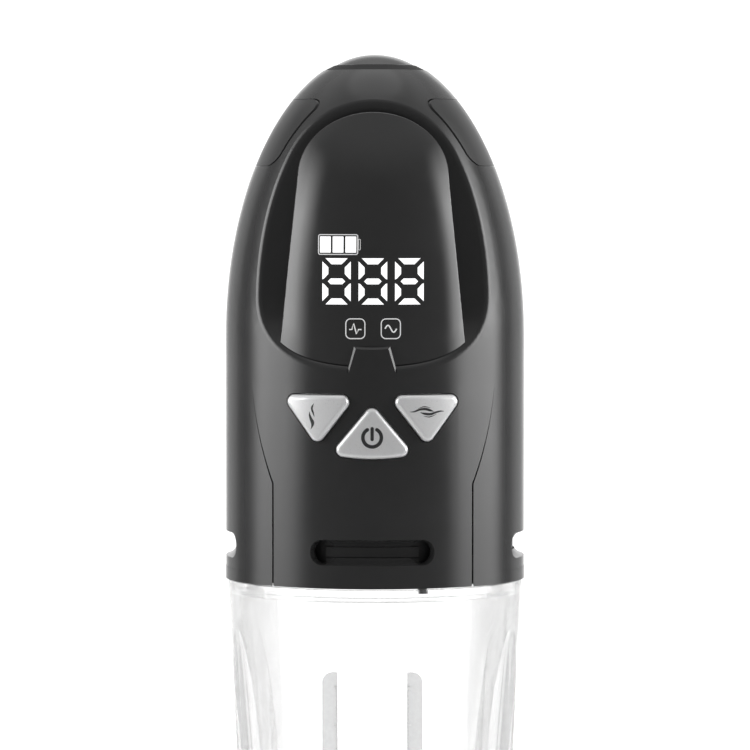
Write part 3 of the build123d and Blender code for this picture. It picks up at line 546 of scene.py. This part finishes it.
def button_marks(materials):
    ink = materials["sign_ink"]
    signs = {
        "power_button": power_sign(),
        "left_button": upright_sign(),
        "right_button": level_sign(),
    }
    for node, shapes in signs.items():
        name = node.replace("button", "sign")
        mark(name, to_metres(shapes), surface_of(node), node, ink)


def scale_marks(materials):
    """Fine ticks down the inner edge of each frosted strip."""
    strips = surface_of("scale_strips")
    ticks = []
    for level in range(TICK_COUNT):
        z = TICK_TOP_Z - TICK_PITCH * level
        for side in (-1, 1):
            length = TICK_LENGTHS[level % 10 == 0]
            low, high = sorted((side * TICK_X, side * (TICK_X + length)))
            bottom, top = z - TICK_HALF_H, z + TICK_HALF_H
            ticks.append([(low, bottom), (high, bottom), (high, top), (low, top)])
    ink = materials["tick_ink"]
    mark("scale_ticks", to_metres(ticks), strips, "cylinder", ink)


# ---- Stage -------------------------------------------------------------------------
def add_camera():
    """Long lens, a little to the right of the front and above the keys."""
    distance, azimuth = CAMERA_DISTANCE, radians(CAMERA_AZIMUTH)
    height = HEAD_Z + CAMERA_HEIGHT
    camera = bpy.data.objects.new("camera", bpy.data.cameras.new("camera"))
    bpy.context.scene.collection.objects.link(camera)
    camera.location = (distance * sin(azimuth), -distance * cos(azimuth), height)
    camera.rotation_euler = (radians(90 - CAMERA_PITCH), 0, azimuth)
    camera.data.lens = CAMERA_LENS
    camera.data.sensor_width = 36.0
    camera.data.clip_start = 0.05
    bpy.context.scene.camera = camera


def add_overhead():
    """Large soft light straight above, for the shadow under the pump."""
    light = bpy.data.lights.new("overhead", "AREA")
    light.shape = "DISK"
    light.size = OVERHEAD_SIZE
    light.energy = OVERHEAD_POWER
    lamp = bpy.data.objects.new("overhead", light)
    bpy.context.scene.collection.objects.link(lamp)
    lamp.location = (0, OVERHEAD_AT[0], HEAD_Z + OVERHEAD_AT[1])


def maths(tree, operation, first, second=None):
    """One maths node; inputs are sockets or numbers."""
    node = tree.nodes.new("ShaderNodeMath")
    node.operation = operation
    for slot, value in zip(node.inputs, (first, second)):
        if value is None:
            continue
        if isinstance(value, (int, float)):
            slot.default_value = value
        else:
            tree.links.new(value, slot)
    return node.outputs["Value"]


def smooth_step(tree, value, low, high):
    """0 below low, 1 above high, and smooth between."""
    node = tree.nodes.new("ShaderNodeMapRange")
    node.interpolation_type = "SMOOTHSTEP"
    node.inputs["From Min"].default_value = low
    node.inputs["From Max"].default_value = high
    tree.links.new(value, node.inputs["Value"])
    return node.outputs["Result"]


def sector(tree, azimuth, rise, level):
    """Light that sets in over a range of azimuths, in degrees from the front."""
    share = smooth_step(tree, azimuth, *[radians(a) for a in rise])
    return maths(tree, "MULTIPLY", share, level)


def window_step(tree, value, rise, fall):
    """Rises over one pair of values and falls over another."""
    falling = maths(tree, "SUBTRACT", 1.0, smooth_step(tree, value, *fall))
    return maths(tree, "MULTIPLY", smooth_step(tree, value, *rise), falling)


def side_band(tree, azimuth, rise, fall, level):
    """Soft upright light band between two azimuths, in degrees from the front."""
    band = window_step(tree, azimuth, [radians(a) for a in rise], [radians(a) for a in fall])
    return maths(tree, "MULTIPLY", band, level)


def add_world():
    """Dark in front, a tall soft light band on each side, white behind and above."""
    world = bpy.data.worlds.new("studio")
    bpy.context.scene.world = world
    world.use_nodes = True
    tree = world.node_tree
    background = tree.nodes["Background"]
    coords = tree.nodes.new("ShaderNodeTexCoord")
    split = tree.nodes.new("ShaderNodeSeparateXYZ")
    tree.links.new(coords.outputs["Generated"], split.inputs["Vector"])
    x, y, z = split.outputs
    azimuth = maths(tree, "ARCTAN2", x, maths(tree, "MULTIPLY", y, -1.0))
    from_left = maths(tree, "MULTIPLY", azimuth, -1.0)
    away = maths(tree, "ABSOLUTE", azimuth)
    right = side_band(tree, azimuth, RIGHT_RISE, RIGHT_FALL, RIGHT_LEVEL)
    left = side_band(tree, from_left, LEFT_RISE, LEFT_FALL, LEFT_LEVEL)
    height = window_step(tree, z, BAND_RISE, BAND_FALL)
    bands = maths(tree, "MULTIPLY", maths(tree, "ADD", left, right), height)
    low = maths(tree, "SUBTRACT", 1.0, smooth_step(tree, z, *BACK_END))
    behind = maths(tree, "MULTIPLY", sector(tree, away, BACK_RISE, BACK_LEVEL), low)
    flank = sector(tree, away, FLANK_RISE, FLANK_LEVEL)
    lean = ranged(tree, y, TOP_LEVEL * TOP_FRONT_SHARE, TOP_LEVEL, *TOP_LEAN)
    above = maths(tree, "MULTIPLY", smooth_step(tree, z, *TOP_RISE), lean)
    level = maths(tree, "ADD", bands, FRONT_LEVEL)
    path = tree.nodes.new("ShaderNodeLightPath")
    seen = maths(tree, "MULTIPLY", path.outputs["Is Camera Ray"], SEEN_LEVEL)
    passed = maths(tree, "GREATER_THAN", path.outputs["Transmission Depth"], 0.5)
    through = maths(tree, "MULTIPLY", passed, THROUGH_LEVEL)
    for other in (behind, flank, above, seen, through):
        level = maths(tree, "MAXIMUM", level, other)
    tree.links.new(level, background.inputs["Strength"])
    background.inputs["Color"].default_value = (1, 1, 1, 1)


def add_floor():
    """Small pale disc under the pump, below the camera's view."""
    mesh = bmesh.new()
    bmesh.ops.create_circle(mesh, cap_ends=True, segments=128, radius=FLOOR_R)
    data = bpy.data.meshes.new("floor")
    mesh.to_mesh(data)
    mesh.free()
    floor = bpy.data.objects.new("floor", data)
    bpy.context.scene.collection.objects.link(floor)
    floor.location.z = cad_box[0][2] - 0.0002
    material, tree, shader = new_material("floor_pale")
    vary_colour(tree, shader, noise(tree, 12, 3), (0.80, 0.80, 0.80), (0.83, 0.83, 0.83))
    shader.inputs["Roughness"].default_value = 0.6
    data.materials.append(material)


def set_view():
    scene = bpy.context.scene
    scene.view_settings.view_transform = "Standard"
    scene.view_settings.look = "None"


# ---- Coil under the cap ------------------------------------------------------------
def coil_curve(radius, bottom, top):
    """Helix of round wire as a curve object."""
    curve = bpy.data.curves.new("coil_line", "CURVE")
    curve.dimensions = "3D"
    curve.bevel_depth = COIL_WIRE_R
    curve.bevel_resolution = 5
    curve.use_fill_caps = True
    steps = COIL_STEPS * COIL_TURNS
    line = curve.splines.new("POLY")
    line.points.add(steps)
    for i, point in enumerate(line.points):
        angle = 2 * pi * COIL_TURNS * i / steps
        height = bottom + (top - bottom) * i / steps
        point.co = (radius * cos(angle), radius * sin(angle), height, 1)
    return bpy.data.objects.new("coil_line", curve)


def add_coil(materials):
    """The spring under the cap, as a coil of round wire in place of the CAD spring."""
    low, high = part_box("release_spring")
    radius = (high.x - low.x) / 2 - COIL_WIRE_R
    line = coil_curve(radius, low.z + COIL_WIRE_R, high.z - COIL_WIRE_R)
    bpy.context.scene.collection.objects.link(line)
    bpy.context.view_layer.update()
    data = bpy.data.meshes.new_from_object(line)
    bpy.data.objects.remove(line)
    coil = bpy.data.objects.new("release_coil", data)
    bpy.context.scene.collection.objects.link(coil)
    for face in data.polygons:
        face.use_smooth = True
    data.materials.clear()
    data.materials.append(materials["spring_steel"])
    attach(coil, "head")
    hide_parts("release_spring")
    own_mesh(coil)


# ---- Build -------------------------------------------------------------------------
materials = make_materials()
dress_nodes(materials)
display_marks(materials)
button_marks(materials)
scale_marks(materials)
add_coil(materials)
add_camera()
add_world()
add_floor()
add_overhead()
set_view()
